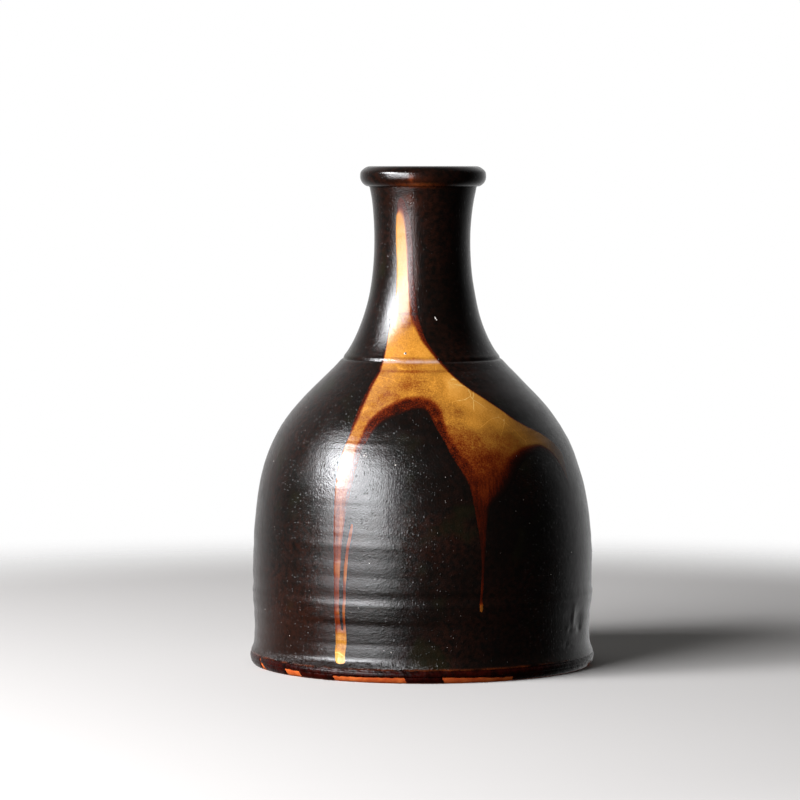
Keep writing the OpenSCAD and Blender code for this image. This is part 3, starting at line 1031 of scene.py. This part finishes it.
def amber_material():
    """Rust where the pour is thin, gold where it's thick, mottled, with streaks down the runs
    and a few long cracks in the sheet."""
    made, tree, shader = new_material("poured_amber_glaze")
    gold = marked(tree, "gold")
    patches = sum_of(tree, grain(tree, 0.5, 3, 0.6), -0.5)
    swirls = sum_of(tree, grain(tree, 5, 3, 0.6), -0.5)
    cloud = sum_of(tree, product(tree, patches, 1.4), swirls)
    cloud = product(tree, product(tree, cloud, marked(tree, "mottle")), 2.6)
    inside = spread(tree, gold, 0.02, 0.2)
    level = sum_of(tree, gold, product(tree, cloud, inside))
    height = add(tree, "ShaderNodeSeparateXYZ")
    join(tree, coordinates(tree), height.inputs[0])
    runs = spread(tree, height.outputs["Z"], 62 * MM, 74 * MM, 1.0, 0.0)
    streaks = sum_of(tree, grain(tree, 0.9, 2, 0.5, stretched(tree, 0.008)), -0.5)
    streaks = product(tree, product(tree, streaks, runs), 0.34)
    level = sum_of(tree, level, product(tree, streaks, inside))
    sheet = spread(tree, height.outputs["Z"], 102 * MM, 107 * MM, 1.0, 0.0)
    cracks = product(tree, crackle(tree), spread(tree, gold, 0.5, 0.7))
    level = sum_of(tree, level, product(tree, product(tree, cracks, sheet), 0.14))
    # Painted highlight: pale over the pour in the groove of the neck join and high on the left
    patchy = spread(tree, grain(tree, 3, 3, 0.6), 0.25, 0.6, 0.1, 0.85)
    pale = product(tree, marked(tree, "pale"), patchy)
    colour = blend_colour(tree, pale, ramp(tree, level, AMBER_STOPS), PAINTED_HIGHLIGHT)
    paint(tree, shader, colour, spread(tree, gold, 0.05, 0.5, 0.24, 0.18))
    shader.inputs["IOR"].default_value = GLAZE_IOR
    fine = product(tree, grain(tree, 0.5, 2, 0.6), spread(tree, gold, 0.1, 0.4, 1.0, 0.4))
    bumped(tree, shader, [(fine, 0.06), (grain(tree, 0.9, 2), 0.03), (grain(tree, 6, 2), 0.10)])
    return made


def liner_material():
    made, tree, shader = new_material("inside_dark_glaze")
    cloud = spread(tree, grain(tree, 12, 3, 0.6), 0.35, 0.7)
    colour = blend_colour(tree, cloud, GLAZE_DARK, GLAZE_WARM)
    paint(tree, shader, colour, spread(tree, grain(tree, 5, 2), 0.3, 0.7, 0.22, 0.34))
    bumped(tree, shader, [(grain(tree, 1.4, 2), 0.05)])
    return made


def slip_material():
    made, tree, shader = new_material("iron_slip")
    cloud = spread(tree, grain(tree, 3.5, 4, 0.6), 0.3, 0.7)
    colour = blend_colour(tree, cloud, (0.0030, 0.0007, 0.0005), (0.0240, 0.0018, 0.0009))
    paint(tree, shader, colour, spread(tree, grain(tree, 1.2, 3), 0.3, 0.7, 0.18, 0.36))
    shader.inputs["Specular IOR Level"].default_value = 0.16
    bumped(tree, shader, [(grain(tree, 0.8, 3, 0.6), 0.10), (grain(tree, 2.5, 2), 0.15)])
    return made


def clay_material():
    made, tree, shader = new_material("orange_stoneware")
    cloud = spread(tree, grain(tree, 5, 4, 0.6), 0.3, 0.7)
    colour = blend_colour(tree, cloud, (0.34, 0.042, 0.006), (0.56, 0.120, 0.022))
    colour = blend_colour(tree, specks(tree, 1.5, 0.32), colour, (0.16, 0.045, 0.02))
    join(tree, colour, shader.inputs["Base Color"])
    shader.inputs["Roughness"].default_value = 0.85
    shader.inputs["Specular IOR Level"].default_value = 0.15
    bumped(tree, shader, [(grain(tree, 0.7, 4, 0.65), 0.12), (grain(tree, 3, 2), 0.10)])
    return made


def grit_material():
    """Pale or dark grains, as their own brightness says."""
    made, tree, shader = new_material("grit_grains")
    # Pale grains: partly real grit, partly painted glints
    colour = blend_colour(tree, marked(tree, "pale"), GLAZE_DARK, (0.80, 0.74, 0.68))
    paint(tree, shader, colour, spread(tree, grain(tree, 0.3, 1), 0.3, 0.7, 0.25, 0.4))
    return made


def dress(piece, material, nodes):
    """Gives a piece its material and body, and hides the CAD nodes that it stands for. The grit
    is in the glaze, so it hides no node."""
    piece.data.materials.append(material)
    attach(piece, "root")
    if nodes:
        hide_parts(*nodes)


# ---- Stage ----


def camera():
    data = bpy.data.cameras.new("camera")
    data.lens = LENS_MM
    data.sensor_width = SENSOR_MM
    data.clip_end = 10
    made = bpy.data.objects.new("camera", data)
    made.location = (0, -CAMERA_DISTANCE, CAMERA_HEIGHT)
    made.rotation_euler = (math.pi / 2 - CAMERA_PITCH, 0, CAMERA_TURN)
    bpy.context.scene.collection.objects.link(made)
    bpy.context.scene.camera = made


def window_light(name, azimuth, elevation, distance, size, roll, watts):
    """A soft rectangle of light that faces the middle of the bottle."""
    data = bpy.data.lights.new(name, "AREA")
    data.shape = "RECTANGLE"
    data.size, data.size_y = size
    data.energy = watts
    data.color = WINDOW_COLOUR
    made = bpy.data.objects.new(name, data)
    middle = Vector((0, 0, crest_z / 2))
    az, el = math.radians(azimuth), math.radians(elevation)
    way = Vector((math.sin(az) * math.cos(el), -math.cos(az) * math.cos(el), math.sin(el)))
    made.location = middle + way * distance
    turn = way.to_track_quat("Z", "Y") @ Quaternion((0, 0, 1), math.radians(roll))
    made.rotation_euler = turn.to_euler()
    made.visible_camera = False
    bpy.context.scene.collection.objects.link(made)


def studio_world():
    """White to the camera; as light, a pale wall behind the bottle and a dim room in front."""
    world = bpy.data.worlds.new("studio")
    bpy.context.scene.world = world
    world.use_nodes = True
    tree = world.node_tree
    tree.nodes.clear()
    direction = add(tree, "ShaderNodeTexCoord").outputs["Generated"]
    parts = add(tree, "ShaderNodeSeparateXYZ")
    join(tree, direction, parts.inputs[0])
    behind = sum_of(tree, sum_of(tree, parts.outputs["Y"], 0, "MAXIMUM"), WALL_SPREAD, "POWER")
    level = sum_of(tree, product(tree, behind, WALL_LIGHT), ROOM_LIGHT)
    room = add(tree, "ShaderNodeBackground", Color=(1, 1, 1, 1))
    join(tree, level, room.inputs["Strength"])
    seen = add(tree, "ShaderNodeBackground", Color=(1, 1, 1, 1))
    rays = add(tree, "ShaderNodeLightPath")
    mix = add(tree, "ShaderNodeMixShader")
    join(tree, rays.outputs["Is Camera Ray"], mix.inputs[0])
    join(tree, room.outputs[0], mix.inputs[1])
    join(tree, seen.outputs[0], mix.inputs[2])
    join(tree, mix.outputs[0], add(tree, "ShaderNodeOutputWorld").inputs["Surface"])


def pale_floor():
    """A plain pale disc that fades out round the bottle."""
    sides = 96
    floor = mesh_object("floor", swept(FLOOR_R, 0, around(sides)), [tuple(range(sides))])
    made, tree, shader = new_material("pale_floor")
    shader.inputs["Base Color"].default_value = (0.62, 0.60, 0.58, 1)
    shader.inputs["Roughness"].default_value = 0.9
    shader.inputs["Specular IOR Level"].default_value = 0.0
    length = add(tree, "ShaderNodeVectorMath", operation="LENGTH")
    join(tree, coordinates(tree), length.inputs[0])
    fade = spread(tree, length.outputs["Value"], 0.26, FLOOR_R - 0.02, 1.0, 0.0)
    join(tree, fade, shader.inputs["Alpha"])
    floor.data.materials.append(made)
    # It doesn't show in the glaze, which would look foggy
    floor.visible_glossy = False
    floor.visible_diffuse = False
    floor.visible_shadow = False


# ---- Assembly ----

camera()
studio_world()
for name, values in WINDOWS.items():
    window_light(name, *values)
pale_floor()
bpy.context.scene.view_settings.view_transform = "Standard"

dark = dark_glaze_material("satin_black_glaze", 0.20, 0.26, 1.0, 0.25)
neck_dark = dark_glaze_material("neck_black_glaze", 0.18, 0.24, 0.7, 0.08)
lip_dark = dark_glaze_material("glossy_black_glaze", 0.15, 0.20, 0.45, 0.08)
clay = clay_material()
dress(belly_coat(), dark, ["outer_glaze"])
dress(neck_coat(), neck_dark, ["outer_glaze"])
dress(lip_coat(), lip_dark, ["outer_glaze", "liner_glaze"])
dress(liner_coat(), liner_material(), ["liner_glaze"])
dress(pour_coat(), amber_material(), ["amber_pour"])
dress(grit_grains(), grit_material(), [])
dress(slip_coat(), slip_material(), ["foot_slip"])
dress(base_clay(), clay, ["base"])
for node in CLAY_NODES:
    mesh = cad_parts[node].data
    mesh.materials.clear()
    mesh.materials.append(clay)
